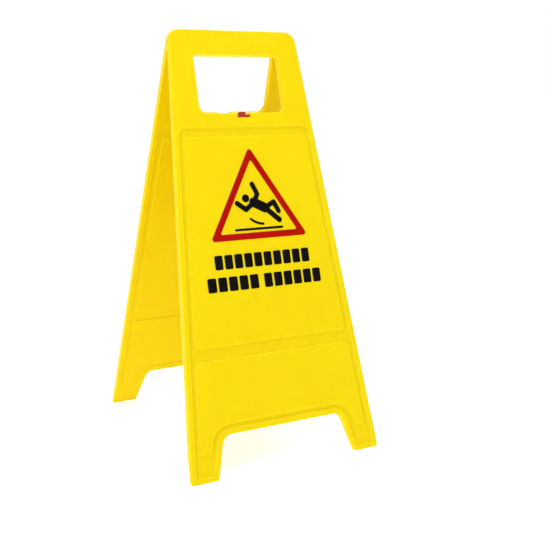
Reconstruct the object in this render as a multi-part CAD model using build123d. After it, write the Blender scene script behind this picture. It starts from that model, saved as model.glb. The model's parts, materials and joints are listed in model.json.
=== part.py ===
from build123d import *
import math
import os

# Folding wet floor sign: two identical moulded leaves, hinged inside the top bar.
# The frame stands on z = 0, X runs across the sign and -Y is the front.
# Each leaf is drawn flat: x across, v up the leaf from the fold axis, and
# w outward from the fold plane to the printed face. Lengths are millimetres.

# Whole sign, standing open
HEIGHT = 616.0
SPREAD = 370.0
FOLD_AXIS_HEIGHT = 589.0

# Leaf: a hollow moulding with two faces
FOOT_WIDTH = 305.0
TOP_WIDTH = 202.0
LEAF_DEPTH = 11.0
WALL = 1.5
FOLD_GAP = 0.3
STOP_GAP = 0.15
FACE_EDGE_RADIUS = 2.0
TOP_CORNER_RADIUS = 17.0

# Handle opening, heights measured down the leaf from the fold axis
HANDLE_WIDTH = 137.0
HANDLE_TOP = 12.0
SILL = 98.5
HANDLE_TOP_RADIUS = 4.0
HANDLE_SILL_RADIUS = 12.0

# Legs and the arch between them
FOOT_INNER_WIDTH = 221.0
ARCH_WIDTH = 191.0
ARCH_HEIGHT = 58.0
ARCH_RADIUS = 16.0
FOOT_RADIUS = 5.0
TOE_TAPER_LENGTH = 45.0
TOE_BACK = 6.0

# Relief: raised fields standing in a shallow sloping channel, fainter on the inner face
CHANNEL_DEPTH = 2.4
BACK_CHANNEL_DEPTH = 1.2
CHANNEL_SLOPE = 45.0
CHANNEL_EDGE_RADIUS = 1.2
RIM = 7.5
FIELD_INSET = 15.5
CHANNEL_TOP = 119.0
PRINT_FIELD_TOP = 134.5
PRINT_FIELD_BOTTOM = 433.0
LOWER_FIELD_TOP = 453.0
LEG_CHANNEL_END = 7.0
LEG_FIELD_END = 40.0
CHANNEL_CORNER = 14.0
FIELD_CORNER = 6.0
LEG_CHANNEL_CORNER = 4.0
LEG_FIELD_CORNER = 3.0

# Hinge in the top bar
KNUCKLE_RADIUS = 5.0
KNUCKLE_LENGTH = 10.0
KNUCKLE_GAP = 0.5
HINGE_CENTRE = 49.5
WEB_HALF_HEIGHT = 4.0
POCKET_CLEARANCE = 0.5
HINGE_PIN_RADIUS = 2.0
RUNNING_CLEARANCE = 0.05
PIN_HEAD_RADIUS = 3.4
PIN_HEAD_LENGTH = 1.6
PIN_HEAD_ROUND = 1.0
PIN_HEAD_GAP = 0.2

# Sill notch, the same in both leaves, with a steel pin across it
NOTCH_WIDTH = 22.0
NOTCH_DEPTH = 7.2
NOTCH_WALL = 2.2
NOTCH_PIN_RADIUS = 1.25
NOTCH_PIN_OUT = 3.6
NOTCH_PIN_DOWN = 4.0

# Lock catch, which turns on the front pin and hooks over the rear one
HUB_RADIUS = 3.0
HUB_SIDE_GAP = 0.3
CATCH_WIDTH = 9.5
CATCH_ARM_WIDTH = 8.0
CATCH_ABOVE_SILL = 2.5
CATCH_FACE_OUT = 7.0
CATCH_PLATE_DROP = 5.6
CATCH_PLATE_BACK = 2.0
CATCH_ARM_THICKNESS = 2.2
CATCH_EDGE_RADIUS = 0.6
BARB_INNER = 5.3
BARB_THICKNESS = 2.0
BARB_DROP = 2.0
BARB_BEVEL = 1.0

# Printing
INK = 0.25
TRIANGLE_SIDE = 157.0
TRIANGLE_BORDER = 9.4
TRIANGLE_BASE = 285.5
TRIANGLE_OUTER_RADIUS = 4.0
TRIANGLE_INNER_RADIUS = 2.0
HEAD_RADIUS = 5.8
ARM_WIDTH = 7.4
LEG_WIDTH = 8.2
TORSO_WIDTH = 14.5
SLIP_LINE_WIDTH = 3.4
CAPTION_BLOCK_HEIGHT = 20.5
CAPTION_BLOCK_GAP = 3.2
CAPTION_BLOCK_RADIUS = 2.2
# Caption rows: left end, right end, middle below the fold axis, number of blocks
CAPTION_ROWS = (
    (-76.5, 76.5, 315.5, 10),
    (-91.5, -11.5, 347.0, 5),
    (-2.0, 91.5, 347.0, 6),
)

# Lean of each leaf: its outer face line meets the floor at half the spread.
REACH = math.hypot(SPREAD / 2, FOLD_AXIS_HEIGHT)
LEAN = math.acos(LEAF_DEPTH / REACH) - math.atan2(FOLD_AXIS_HEIGHT, SPREAD / 2)
LEAN_DEG = math.degrees(LEAN)
FACE_RISE = LEAF_DEPTH * math.sin(LEAN)
LEAF_TOP = (HEIGHT - FOLD_AXIS_HEIGHT - FACE_RISE) / math.cos(LEAN)
LEAF_FOOT = -(FOLD_AXIS_HEIGHT + FACE_RISE) / math.cos(LEAN)
ARCH_TOP = LEAF_FOOT + ARCH_HEIGHT / math.cos(LEAN)
NOTCH_PIN_V = -SILL - NOTCH_PIN_DOWN

# Modelling limits: a size beyond the whole sign, how far a cutting tool runs
# past a surface, and how closely two edges' middles match when they are one edge
FAR = 800.0
PAST = 1.0
SAME_EDGE = 0.05

OUTWARD = (0, -1, 0)
INWARD = (0, 1, 0)


def half_width(v):
    """Half the leaf's width at height v, along its straight side."""
    share = (LEAF_TOP - v) / (LEAF_TOP - LEAF_FOOT)
    return (TOP_WIDTH + share * (FOOT_WIDTH - TOP_WIDTH)) / 2


def on_leaf(outline, w):
    """Lay a flat outline on the leaf at depth w."""
    return Plane.XZ.offset(w) * outline


def slab(outline, w_low, w_high):
    return extrude(on_leaf(outline, w_low), amount=w_high - w_low, dir=OUTWARD)


def across(profile, width, centre=0.0):
    """Extrude a side profile, drawn as (w, v), along X about a centre."""
    side = Plane(origin=(centre - width / 2, 0, 0), x_dir=(0, -1, 0), z_dir=(-1, 0, 0))
    return extrude(side * profile, amount=width, dir=(1, 0, 0))


def rod(radius, length, centre, w, v):
    """A cylinder along X through (w, v)."""
    return Pos(centre, -w, v) * Rot(0, 90, 0) * Cylinder(radius, length)


def tapered_band(v_top, v_bottom, inset):
    """The part of the leaf between two heights, inset from both sides."""
    top = half_width(v_top) - inset
    bottom = half_width(v_bottom) - inset
    return Polygon((-top, v_top), (-bottom, v_bottom), (bottom, v_bottom), (top, v_top), align=None)


def round_top(outline, radius):
    return fillet(outline.vertices().group_by(Axis.Y)[-1], radius)


def round_bottom(outline, radius):
    return fillet(outline.vertices().group_by(Axis.Y)[0], radius)


def arch(margin):
    """The gap between the legs, grown by a margin."""
    side_slope = (FOOT_INNER_WIDTH - ARCH_WIDTH) / 2 / (ARCH_TOP - LEAF_FOOT)
    side_margin = margin * math.hypot(1, side_slope)
    top = ARCH_TOP + margin
    top_half = ARCH_WIDTH / 2 + side_margin - margin * side_slope
    low = LEAF_FOOT - ARCH_HEIGHT
    low_half = top_half + side_slope * (top - low)
    gap = Polygon((-top_half, top), (-low_half, low), (low_half, low), (top_half, top), align=None)
    return round_top(gap, ARCH_RADIUS + margin)


def handle_opening():
    middle = -(HANDLE_TOP + SILL) / 2
    opening = Pos(0, middle) * Rectangle(HANDLE_WIDTH, SILL - HANDLE_TOP)
    opening = round_top(opening, HANDLE_TOP_RADIUS)
    return round_bottom(opening, HANDLE_SILL_RADIUS)


def leaf_outline():
    outline = tapered_band(LEAF_TOP, LEAF_FOOT, 0.0)
    outline = round_top(outline, TOP_CORNER_RADIUS)
    outline = outline - arch(0.0)
    return round_bottom(outline, FOOT_RADIUS)


def channel_outline():
    outline = tapered_band(-CHANNEL_TOP, LEAF_FOOT + LEG_CHANNEL_END, RIM)
    outline = round_top(outline, CHANNEL_CORNER) - arch(RIM)
    return round_bottom(outline, LEG_CHANNEL_CORNER)


def print_field():
    outline = tapered_band(-PRINT_FIELD_TOP, -PRINT_FIELD_BOTTOM, FIELD_INSET)
    return round_bottom(round_top(outline, FIELD_CORNER), FIELD_CORNER)


def lower_field():
    outline = tapered_band(-LOWER_FIELD_TOP, LEAF_FOOT + LEG_FIELD_END, FIELD_INSET)
    outline = round_top(outline, FIELD_CORNER) - arch(FIELD_INSET)
    return round_bottom(outline, LEG_FIELD_CORNER)


def relief(w, depth, direction):
    """The channel as a solid sunk from level w: sloping sides, with the two fields left out."""
    channel = extrude(on_leaf(channel_outline(), w), depth, dir=direction, taper=CHANNEL_SLOPE)
    for field in (print_field(), lower_field()):
        channel -= extrude(on_leaf(field, w), depth, dir=direction, taper=-CHANNEL_SLOPE)
    return channel


def back_limit():
    """Side profile of the leaf: level behind, bevelled as a stop above the axis, tapered at the toe."""
    stop_back = STOP_GAP / math.cos(LEAN)
    bevel_start = (FOLD_GAP - stop_back) / math.tan(LEAN)
    profile = Polygon(
        (FAR, FAR),
        (stop_back + FAR * math.tan(LEAN), FAR),
        (FOLD_GAP, bevel_start),
        (FOLD_GAP, LEAF_FOOT + TOE_TAPER_LENGTH),
        (TOE_BACK, LEAF_FOOT),
        (TOE_BACK, -FAR),
        (FAR, -FAR),
        align=None,
    )
    return across(profile, 2 * FAR)


def above_floor(height):
    """All the space above a level, in the leaf's own tilted frame."""
    space = Box(FAR, FAR, 2 * FAR, align=(Align.CENTER, Align.CENTER, Align.MIN))
    return Rot(LEAN_DEG, 0, 0) * Pos(0, 0, height - FOLD_AXIS_HEIGHT) * space


def soften(solid, groove):
    """Round the groove's edges, first those in the face and then those along its floor."""
    for level in (0, -1):
        centres = [edge.center() for edge in groove.faces().sort_by(Axis.Y)[level].edges()]
        edges = [e for e in solid.edges() if any((e.center() - c).length < SAME_EDGE for c in centres)]
        solid = fillet(edges, CHANNEL_EDGE_RADIUS)
    return solid


def shell():
    outline = leaf_outline()
    opening = handle_opening()
    skin = slab(outline - opening, 0.0, LEAF_DEPTH)
    skin = fillet(skin.faces().sort_by(Axis.Y)[0].edges(), FACE_EDGE_RADIUS)
    inner_outline = offset(outline, -WALL) - offset(opening, WALL)
    cavity = slab(inner_outline, -PAST, LEAF_DEPTH - WALL)
    outer_groove = relief(LEAF_DEPTH, CHANNEL_DEPTH, INWARD)
    inner_groove = Pos(0, WALL, 0) * outer_groove
    skin = soften(skin - outer_groove, outer_groove)
    cavity = soften(cavity - inner_groove, inner_groove)
    back_groove = relief(FOLD_GAP, BACK_CHANNEL_DEPTH, OUTWARD)
    skin = (skin & above_floor(0.0) & back_limit()) - back_groove
    lining = Pos(0, -WALL, 0)
    cavity = (cavity & above_floor(WALL) & (lining * back_limit())) - lining * back_groove
    return skin - cavity


def hinge_box(centre, wall, w_low, w_high):
    """A box round one group of knuckles and its pin, with a wall of its own."""
    width = 3 * KNUCKLE_LENGTH + 2 * KNUCKLE_GAP + 2 * (PIN_HEAD_GAP + PIN_HEAD_LENGTH + POCKET_CLEARANCE)
    height = 2 * (KNUCKLE_RADIUS + POCKET_CLEARANCE)
    size = (width + 2 * wall, w_high - w_low, height + 2 * wall)
    return Pos(centre, -(w_low + w_high) / 2, 0) * Box(*size)


def knuckle(centre):
    """One hinge barrel with its web to the inside of the face."""
    web_depth = LEAF_DEPTH - WALL / 2
    web = Pos(centre, -web_depth / 2, 0) * Box(KNUCKLE_LENGTH, web_depth, 2 * WEB_HALF_HEIGHT)
    return web + rod(KNUCKLE_RADIUS, KNUCKLE_LENGTH, centre, 0, 0)


def knuckle_bore(centre):
    return rod(HINGE_PIN_RADIUS + RUNNING_CLEARANCE, KNUCKLE_LENGTH + PAST, centre, 0, 0)


def notch_box(side, floor, w_low, w_high):
    """A box around the sill notch, from above the sill down to its floor."""
    top = -SILL + HANDLE_SILL_RADIUS
    bottom = -SILL - NOTCH_DEPTH - floor
    size = (NOTCH_WIDTH + 2 * side, w_high - w_low, top - bottom)
    return Pos(0, -(w_low + w_high) / 2, (top + bottom) / 2) * Box(*size)


def notch_frame():
    """Two ears and a floor under the sill, which line the notch."""
    frame = notch_box(NOTCH_WALL, NOTCH_WALL, FOLD_GAP, LEAF_DEPTH - WALL / 2)
    return frame - slab(handle_opening(), -PAST, LEAF_DEPTH + PAST)


def moulded_leaf():
    """One leaf in its flat frame."""
    pitch = KNUCKLE_LENGTH + KNUCKLE_GAP
    centres = (-HINGE_CENTRE - pitch, -HINGE_CENTRE + pitch, HINGE_CENTRE)
    leaf = shell() + notch_frame()
    for group in (-HINGE_CENTRE, HINGE_CENTRE):
        leaf += hinge_box(group, WALL, 0, LEAF_DEPTH - WALL / 2) & back_limit()
        leaf -= hinge_box(group, 0, -PAST, KNUCKLE_RADIUS + POCKET_CLEARANCE)
    for centre in centres:
        leaf += knuckle(centre)
    for centre in centres:
        leaf -= knuckle_bore(centre)
    leaf -= notch_box(0, 0, -PAST, LEAF_DEPTH + PAST)
    return leaf - notch_pin()


def notch_pin():
    """A pin pressed into both ears of the notch."""
    return rod(NOTCH_PIN_RADIUS, NOTCH_WIDTH + 2 * NOTCH_WALL, 0, NOTCH_PIN_OUT, NOTCH_PIN_V)


def hinge_pin(centre):
    """A rod through three knuckles, headed at both ends."""
    shaft_length = 3 * KNUCKLE_LENGTH + 2 * KNUCKLE_GAP + 2 * PIN_HEAD_GAP
    pin = rod(HINGE_PIN_RADIUS, shaft_length + 2 * PIN_HEAD_LENGTH, centre, 0, 0)
    for side in (-1, 1):
        head_centre = centre + side * (shaft_length + PIN_HEAD_LENGTH) / 2
        head = rod(PIN_HEAD_RADIUS, PIN_HEAD_LENGTH, head_centre, 0, 0)
        outer_edge = head.edges().sort_by(Axis.X)[-1 if side > 0 else 0]
        pin += fillet(outer_edge, PIN_HEAD_ROUND)
    return pin


def lock_catch():
    """Thumb plate, hub and a hooked arm that reaches over to the other leaf."""
    top = -SILL + CATCH_ABOVE_SILL
    under = top - CATCH_ARM_THICKNESS
    plate_foot = -SILL - CATCH_PLATE_DROP
    barb_foot = -SILL - BARB_DROP
    barb_outer = BARB_INNER + BARB_THICKNESS
    plate = Polygon(
        (CATCH_FACE_OUT, top),
        (CATCH_FACE_OUT, plate_foot),
        (NOTCH_PIN_OUT, plate_foot),
        (NOTCH_PIN_OUT - CATCH_PLATE_BACK, top),
        align=None,
    )
    arm = Polygon(
        (NOTCH_PIN_OUT, top),
        (NOTCH_PIN_OUT, under),
        (-BARB_INNER, under),
        (-BARB_INNER, barb_foot),
        (-barb_outer, barb_foot + BARB_BEVEL),
        (-barb_outer, top - BARB_BEVEL),
        (-barb_outer + BARB_BEVEL, top),
        align=None,
    )
    catch = across(plate, CATCH_WIDTH) + across(arm, CATCH_ARM_WIDTH)
    catch = fillet(catch.faces().sort_by(Axis.Y)[0].edges(), CATCH_EDGE_RADIUS)
    hub_width = NOTCH_WIDTH - 2 * HUB_SIDE_GAP
    catch += rod(HUB_RADIUS, hub_width, 0, NOTCH_PIN_OUT, NOTCH_PIN_V)
    return catch - rod(NOTCH_PIN_RADIUS + RUNNING_CLEARANCE, FAR, 0, NOTCH_PIN_OUT, NOTCH_PIN_V)


def printed(outline):
    return slab(outline, LEAF_DEPTH, LEAF_DEPTH + INK)


def triangle(side, base, radius):
    height = side * math.sqrt(3) / 2
    outline = Polygon((-side / 2, base), (side / 2, base), (0, base + height), align=None)
    return fillet(outline.vertices(), radius)


def warning_triangle():
    base = -TRIANGLE_BASE
    outer = triangle(TRIANGLE_SIDE, base, TRIANGLE_OUTER_RADIUS)
    inner_side = TRIANGLE_SIDE - 2 * math.sqrt(3) * TRIANGLE_BORDER
    return printed(outer - triangle(inner_side, base + TRIANGLE_BORDER, TRIANGLE_INNER_RADIUS))


def stroke(start, end, width):
    """A round-ended stroke between two points."""
    dx = end[0] - start[0]
    dv = end[1] - start[1]
    middle = Pos((start[0] + end[0]) / 2, (start[1] + end[1]) / 2)
    turn = math.degrees(math.atan2(dv, dx))
    return middle * SlotCenterToCenter(math.hypot(dx, dv), width, rotation=turn)


def strokes(points, width):
    drawn = stroke(points[0], points[1], width)
    for start, end in zip(points[1:], points[2:]):
        drawn += stroke(start, end, width)
    return drawn


def slipping_figure():
    """A plain figure falling backwards: head, two arms, torso and two legs."""
    shoulder = (-3, -232)
    hip = (14, -241)
    raised_arm = [(-2.5, -205), (4, -220), shoulder]
    trailing_arm = [(-30, -232), (-17, -242), shoulder]
    straight_leg = [hip, (35, -260)]
    bent_leg = [hip, (29, -233), (35.5, -247)]
    body = stroke(shoulder, hip, TORSO_WIDTH)
    limbs = strokes(raised_arm, ARM_WIDTH) + strokes(trailing_arm, ARM_WIDTH)
    legs = strokes(straight_leg, LEG_WIDTH) + strokes(bent_leg, ARM_WIDTH)
    figure = printed(body + limbs + legs)
    head = printed(Pos(-15.5, -225.5) * Circle(HEAD_RADIUS))
    return Compound(children=[figure, head])


def slip_marks():
    """A floor line and the curved track of the slip above it."""
    floor_line = printed(stroke((-37, -271), (38, -271), SLIP_LINE_WIDTH))
    track_line = ThreePointArc((-12.5, -255), (-3, -261.5), (9.5, -264.5))
    track = printed(trace(track_line, SLIP_LINE_WIDTH))
    return Compound(children=[floor_line, track])


def caption_row(left, right, below_axis, count):
    """Evenly spaced plain blocks between two ends."""
    pitch = (right - left + CAPTION_BLOCK_GAP) / count
    width = pitch - CAPTION_BLOCK_GAP
    block = printed(RectangleRounded(width, CAPTION_BLOCK_HEIGHT, CAPTION_BLOCK_RADIUS))
    return [Pos(left + width / 2 + i * pitch, 0, -below_axis) * block for i in range(count)]


def caption():
    """Two rows of blocks where a sign of this kind carries its words."""
    blocks = []
    for row in CAPTION_ROWS:
        blocks += caption_row(*row)
    return Compound(children=blocks)


def stand_front(shape):
    """Lean a flat-frame shape about the fold axis as the front leaf."""
    return Pos(0, 0, FOLD_AXIS_HEIGHT) * Rot(-LEAN_DEG, 0, 0) * shape


def stand_rear(shape):
    """The same, turned half round as the rear leaf."""
    return Rot(0, 0, 180) * stand_front(shape)


os.makedirs("parts", exist_ok=True)

leaf = moulded_leaf()
nodes = {
    "front_panel": stand_front(leaf),
    "rear_panel": stand_rear(leaf),
    "hinge_pin_left": stand_front(hinge_pin(-HINGE_CENTRE)),
    "hinge_pin_right": stand_front(hinge_pin(HINGE_CENTRE)),
    "lock_catch": stand_front(lock_catch()),
    "catch_pin": stand_front(notch_pin()),
    "keeper_pin": stand_rear(notch_pin()),
}
prints = {
    "triangle": warning_triangle(),
    "figure": slipping_figure(),
    "slip_marks": slip_marks(),
    "caption": caption(),
}
for name, shape in prints.items():
    nodes["front_" + name] = stand_front(shape)
    nodes["rear_" + name] = stand_rear(shape)

for name, shape in nodes.items():
    export_step(shape, os.path.join("parts", name + ".step"))
catch_axis = stand_front(Pos(0, -NOTCH_PIN_OUT, NOTCH_PIN_V)).position
print("lean", round(LEAN_DEG, 3), "degrees; leaf", round(LEAF_TOP - LEAF_FOOT, 1), "mm long")
print("catch turns about", catch_axis)
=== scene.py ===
"""A folding wet floor sign: materials, floor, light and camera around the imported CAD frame."""

import json
import math

import bpy
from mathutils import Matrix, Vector


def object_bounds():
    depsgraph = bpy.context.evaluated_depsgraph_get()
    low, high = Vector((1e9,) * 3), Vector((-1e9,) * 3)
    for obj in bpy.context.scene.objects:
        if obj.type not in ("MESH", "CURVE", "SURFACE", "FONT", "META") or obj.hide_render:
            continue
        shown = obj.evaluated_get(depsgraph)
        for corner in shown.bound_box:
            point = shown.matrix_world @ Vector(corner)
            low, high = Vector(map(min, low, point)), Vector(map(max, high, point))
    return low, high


# ---- camera, in metres and degrees ----
CAMERA_AT = (-0.5541, -1.2070, 0.5332)
CAMERA_AZIMUTH = -27.39
CAMERA_TILT = 12.22
CAMERA_FOCAL = 56.6
CAMERA_REACH = 200.0
SENSOR = 36.0

# ---- stage ----
FLOOR_HALF = 40.0
FLOOR_WHITE = (0.94, 0.94, 0.94, 1.0)
# What the floor adds and the room gives as light, and how bright each looks
FLOOR_GLOW = 0.42
FLOOR_SEEN = 0.45
ROOM_LIGHT = 0.74
ROOM_SEEN = 1.0

# ---- lamps: where each stands in metres, and its power in watts ----
LAMP_SIZE = 1.8
LAMPS = {
    "overhead": ((0.0, -0.3, 2.6), 34.0),
    "front_left": ((-2.4, -1.6, 0.5), 26.0),
    "behind": ((0.9, 2.6, 1.3), 24.0),
}

# ---- colours, linear ----
YELLOW = (0.835, 0.590, 0.000, 1.0)
YELLOW_DEEP = (0.820, 0.566, 0.000, 1.0)
# Paler yellow painted on sharp edges: partly rubbed wear, partly a painted edge highlight
YELLOW_RIM_WEAR_AND_HIGHLIGHT = (0.860, 0.670, 0.020, 1.0)
SIGN_RED = (0.350, 0.002, 0.001, 1.0)
SIGN_RED_THIN = (0.460, 0.012, 0.002, 1.0)
CLIP_RED = (0.420, 0.012, 0.010, 1.0)
CLIP_RED_DEEP = (0.260, 0.006, 0.006, 1.0)
INK_BLACK = (0.003, 0.002, 0.003, 1.0)
INK_BLACK_THIN = (0.012, 0.009, 0.006, 1.0)
ZINC = (0.620, 0.630, 0.640, 1.0)
ZINC_DULL = (0.430, 0.435, 0.440, 1.0)
WHITE = (1.0, 1.0, 1.0, 1.0)

# ---- widths and depths on the surfaces, in metres ----
# Width of the pale rim painted on sharp edges, rubbed wear and painted edge highlight in one
RIM_WEAR_AND_HIGHLIGHT_WIDTH = 0.0014
LIGHT_INTO_YELLOW = 0.0055
YELLOW_GRAIN = 0.00008
YELLOW_WAVES = 0.0016
FINE_GRAIN = 0.00005
DRAWN_LINES = 0.00003

# ---- stretched noise: clumps to a metre along X, Y and Z ----
FLOW_CLUMPS = (60.0, 60.0, 5.0)
SCUFF_CLUMPS = (35.0, 35.0, 190.0)
DRAWN_CLUMPS = (120.0, 5200.0, 5200.0)

# How far the rounded normal agrees with the real one on an open face and at a sharp edge
OPEN_FACE = 0.995
SHARP_EDGE = 0.80
RIM_WEAR_AND_HIGHLIGHT_STRENGTH = 0.55

# The mix node has sockets for every kind of value, and these are its colours
MIX_COLOURS_IN = slice(6, 8)
MIX_COLOUR_OUT = 2


# ---------------------------------------------------------------- node helpers
def seen_or_lit(tree, lit, seen):
    """One strength for the light that a surface gives and another for how bright it looks."""
    looked_at = tree.nodes.new("ShaderNodeLightPath").outputs["Is Camera Ray"]
    strength = tree.nodes.new("ShaderNodeMapRange")
    strength.inputs["To Min"].default_value = lit
    strength.inputs["To Max"].default_value = seen
    tree.links.new(looked_at, strength.inputs["Value"])
    return strength.outputs["Result"]


class Shader:
    """A material with its Principled shader, and short calls for the nodes that feed it."""

    def __init__(self, name):
        self.material = bpy.data.materials.new(name)
        self.material.use_nodes = True
        self.tree = self.material.node_tree
        self.main = self.tree.nodes["Principled BSDF"]
        self.place = self.tree.nodes.new("ShaderNodeTexCoord").outputs["Object"]

    def set(self, **values):
        """Plain values on the Principled shader's sockets, with _ for each space in a name."""
        for name, value in values.items():
            self.main.inputs[name.replace("_", " ")].default_value = value

    def join(self, output, target):
        self.tree.links.new(output, target)

    def stretched(self, scale):
        """The object coordinates, scaled on each axis."""
        node = self.tree.nodes.new("ShaderNodeMapping")
        node.inputs["Scale"].default_value = scale
        self.join(self.place, node.inputs["Vector"])
        return node.outputs["Vector"]

    def noise(self, scale, detail=3.0, roughness=0.5, place=None):
        """Cloudy noise with so many clumps to a metre, on the object or on a stretched place."""
        node = self.tree.nodes.new("ShaderNodeTexNoise")
        node.inputs["Scale"].default_value = scale
        node.inputs["Detail"].default_value = detail
        node.inputs["Roughness"].default_value = roughness
        self.join(place or self.place, node.inputs["Vector"])
        return node.outputs["Fac"]

    def remap(self, value, low, high, out_low=0.0, out_high=1.0):
        """The value's range from low to high, eased onto out_low to out_high."""
        node = self.tree.nodes.new("ShaderNodeMapRange")
        node.interpolation_type = "SMOOTHSTEP"
        node.inputs["From Min"].default_value = low
        node.inputs["From Max"].default_value = high
        node.inputs["To Min"].default_value = out_low
        node.inputs["To Max"].default_value = out_high
        self.join(value, node.inputs["Value"])
        return node.outputs["Result"]

    def maths(self, operation, first, second):
        """One operation on two values, each a number or another node's output."""
        node = self.tree.nodes.new("ShaderNodeMath")
        node.operation = operation
        for socket, value in zip(node.inputs, (first, second)):
            if isinstance(value, (int, float)):
                socket.default_value = value
            else:
                self.join(value, socket)
        return node.outputs["Value"]

    def mix(self, factor, first, second):
        """The first colour where the factor is zero and the second where it is one."""
        node = self.tree.nodes.new("ShaderNodeMix")
        node.data_type = "RGBA"
        self.join(factor, node.inputs["Factor"])
        for socket, value in zip(node.inputs[MIX_COLOURS_IN], (first, second)):
            if isinstance(value, tuple):
                socket.default_value = value
            else:
                self.join(value, socket)
        return node.outputs[MIX_COLOUR_OUT]

    def bump(self, height, distance, strength=1.0, below=None):
        """A relief as deep as distance, on top of the one below it."""
        node = self.tree.nodes.new("ShaderNodeBump")
        node.inputs["Distance"].default_value = distance
        node.inputs["Strength"].default_value = strength
        self.join(height, node.inputs["Height"])
        if below:
            self.join(below, node.inputs["Normal"])
        return node.outputs["Normal"]

    def edge(self, radius):
        """One at a sharp edge and zero on open faces."""
        bevel = self.tree.nodes.new("ShaderNodeBevel")
        bevel.samples = 4
        bevel.inputs["Radius"].default_value = radius
        geometry = self.tree.nodes.new("ShaderNodeNewGeometry")
        dot = self.tree.nodes.new("ShaderNodeVectorMath")
        dot.operation = "DOT_PRODUCT"
        self.join(bevel.outputs["Normal"], dot.inputs[0])
        self.join(geometry.outputs["Normal"], dot.inputs[1])
        return self.remap(dot.outputs["Value"], low=OPEN_FACE, high=SHARP_EDGE)

    def finish(self, colour=None, roughness=None, normal=None):
        """Join what was made to the Principled shader and give the material back."""
        for output, name in ((colour, "Base Color"), (roughness, "Roughness"), (normal, "Normal")):
            if output:
                self.join(output, self.main.inputs[name])
        return self.material


# ---------------------------------------------------------------- materials
def yellow_plastic():
    """Moulded polypropylene: satin, with a fine spark-eroded grain, flow shading, and pale rims painted
    on sharp edges as rubbed wear and a painted edge highlight.
    """
    shader = Shader("yellow_plastic")
    shader.set(
        IOR=1.49,
        Specular_IOR_Level=0.10,
        Subsurface_Weight=0.6,
        Subsurface_Radius=(1.0, 0.6, 0.08),
        Subsurface_Scale=LIGHT_INTO_YELLOW,
    )
    cloud = shader.noise(scale=7.0, detail=2.0)
    flow = shader.noise(scale=1.0, detail=4.0, place=shader.stretched(FLOW_CLUMPS))
    both = shader.maths("MULTIPLY", shader.maths("ADD", cloud, flow), 0.5)
    body = shader.mix(shader.remap(both, low=0.35, high=0.65), YELLOW_DEEP, YELLOW)
    # Sharp edges painted paler: rubbed wear together with a painted edge highlight
    rim_wear_and_highlight = shader.maths("MULTIPLY", shader.edge(RIM_WEAR_AND_HIGHLIGHT_WIDTH), RIM_WEAR_AND_HIGHLIGHT_STRENGTH)
    worn_and_highlit = shader.mix(rim_wear_and_highlight, body, YELLOW_RIM_WEAR_AND_HIGHLIGHT)
    scuffs = shader.noise(scale=1.0, detail=6.0, roughness=0.65, place=shader.stretched(SCUFF_CLUMPS))
    rubbed = shader.remap(scuffs, low=0.60, high=0.74, out_low=0.40, out_high=0.56)
    waves = shader.bump(shader.noise(scale=14.0, detail=1.0), YELLOW_WAVES, strength=0.35)
    grain = shader.noise(scale=1400.0, detail=2.0)
    normal = shader.bump(grain, YELLOW_GRAIN, strength=0.55, below=waves)
    return shader.finish(worn_and_highlit, rubbed, normal)


def clip_plastic():
    """Glossy red acetal, a little darker in patches."""
    shader = Shader("red_plastic")
    shader.set(IOR=1.48, Coat_Weight=0.15, Coat_Roughness=0.2)
    patches = shader.remap(shader.noise(scale=260.0), low=0.35, high=0.7)
    colour = shader.mix(patches, CLIP_RED, CLIP_RED_DEEP)
    roughness = shader.remap(shader.noise(scale=900.0), low=0.3, high=0.7, out_low=0.25, out_high=0.38)
    normal = shader.bump(shader.noise(scale=2200.0), FINE_GRAIN, strength=0.4)
    return shader.finish(colour, roughness, normal)


def pin_steel():
    """Zinc-plated wire, dulled in spots and drawn lengthways."""
    shader = Shader("pin_steel")
    shader.set(Metallic=1.0)
    drawn = shader.noise(scale=1.0, detail=4.0, place=shader.stretched(DRAWN_CLUMPS))
    spots = shader.remap(shader.noise(scale=700.0, detail=4.0), low=0.4, high=0.65)
    colour = shader.mix(spots, ZINC, ZINC_DULL)
    roughness = shader.remap(drawn, low=0.3, high=0.7, out_low=0.22, out_high=0.42)
    return shader.finish(colour, roughness, shader.bump(drawn, DRAWN_LINES, strength=0.5))


def ink(name, full, thin):
    """Screen ink: a dense film with thinner specks and cloudy thin patches, on a fine bumped grain."""
    shader = Shader(name)
    shader.set(IOR=1.45, Specular_IOR_Level=0.05)
    specks = shader.remap(shader.noise(scale=1900.0, detail=4.0), low=0.62, high=0.78, out_high=0.8)
    cloud = shader.remap(shader.noise(scale=45.0), low=0.3, high=0.8, out_high=0.35)
    colour = shader.mix(shader.maths("MAXIMUM", specks, cloud), full, thin)
    roughness = shader.remap(shader.noise(scale=160.0), low=0.3, high=0.7, out_low=0.36, out_high=0.5)
    normal = shader.bump(shader.noise(scale=2600.0), FINE_GRAIN, strength=0.5)
    return shader.finish(colour, roughness, normal)


def paint_nodes(nodes, record):
    """Each CAD node takes the material that its slot in the record names."""
    materials = {
        "yellow_plastic": yellow_plastic(),
        "red_plastic": clip_plastic(),
        "pin_steel": pin_steel(),
        "red_ink": ink("red_ink", SIGN_RED, SIGN_RED_THIN),
        "black_ink": ink("black_ink", INK_BLACK, INK_BLACK_THIN),
    }
    for part in record["subparts"]:
        slots = nodes[part["node"]].data.materials
        slots.clear()
        slots.append(materials[part["material_slot"]])


# ---------------------------------------------------------------- stage, light, camera
def white_floor():
    """A seamless white floor that reaches the horizon."""
    bpy.ops.mesh.primitive_plane_add(size=2 * FLOOR_HALF)
    floor = bpy.context.object
    floor.name = "floor"
    shader = Shader("floor_white")
    shader.set(Base_Color=FLOOR_WHITE, Emission_Color=WHITE)
    glow = seen_or_lit(shader.tree, FLOOR_GLOW, FLOOR_SEEN)
    shader.join(glow, shader.main.inputs["Emission Strength"])
    roughness = shader.remap(shader.noise(scale=3.0), low=0.3, high=0.7, out_low=0.42, out_high=0.5)
    floor.data.materials.append(shader.finish(roughness=roughness))


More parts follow.
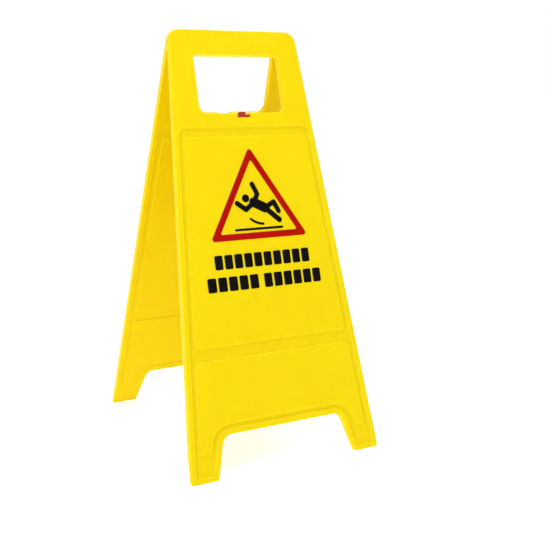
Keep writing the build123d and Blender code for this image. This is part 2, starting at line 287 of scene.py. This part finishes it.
def area_light(name, place, power, target):
    """A round lamp that faces the target."""
    data = bpy.data.lights.new(name, "AREA")
    data.shape = "DISK"
    data.size = LAMP_SIZE
    data.energy = power
    light = bpy.data.objects.new(name, data)
    light.location = place
    light.rotation_euler = (Vector(target) - Vector(place)).to_track_quat("-Z", "Y").to_euler()
    bpy.context.scene.collection.objects.link(light)


def studio_light(centre):
    """An even white room, and wide lamps overhead, at the front left and behind."""
    world = bpy.data.worlds.new("white_room")
    world.use_nodes = True
    tree = world.node_tree
    background = tree.nodes["Background"]
    background.inputs["Color"].default_value = WHITE
    tree.links.new(seen_or_lit(tree, ROOM_LIGHT, ROOM_SEEN), background.inputs["Strength"])
    bpy.context.scene.world = world
    for name, (place, power) in LAMPS.items():
        area_light(name, place, power, centre)


def photo_camera():
    """The camera's direction comes from its compass angle and its tilt down, and it has no roll."""
    data = bpy.data.cameras.new("camera")
    data.lens = CAMERA_FOCAL
    data.sensor_width = SENSOR
    data.clip_end = CAMERA_REACH
    camera = bpy.data.objects.new("camera", data)
    azimuth = math.radians(CAMERA_AZIMUTH)
    tilt = math.radians(CAMERA_TILT)
    across = math.cos(tilt)
    ahead = Vector((-math.sin(azimuth) * across, math.cos(azimuth) * across, -math.sin(tilt)))
    camera.location = CAMERA_AT
    camera.rotation_euler = ahead.to_track_quat("-Z", "Y").to_euler()
    bpy.context.scene.collection.objects.link(camera)
    bpy.context.scene.camera = camera


# ---------------------------------------------------------------- build
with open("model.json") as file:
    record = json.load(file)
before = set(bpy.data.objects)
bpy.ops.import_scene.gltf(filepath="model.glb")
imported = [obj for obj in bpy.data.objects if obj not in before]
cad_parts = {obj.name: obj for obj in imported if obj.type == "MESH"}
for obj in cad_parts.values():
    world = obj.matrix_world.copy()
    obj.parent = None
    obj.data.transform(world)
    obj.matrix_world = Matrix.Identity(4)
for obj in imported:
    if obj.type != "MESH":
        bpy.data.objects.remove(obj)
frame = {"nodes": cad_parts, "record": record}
cad_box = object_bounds()
paint_nodes(frame["nodes"], frame["record"])
white_floor()
low, high = cad_box
studio_light((low + high) / 2)
photo_camera()
bpy.context.scene.view_settings.view_transform = "Standard"
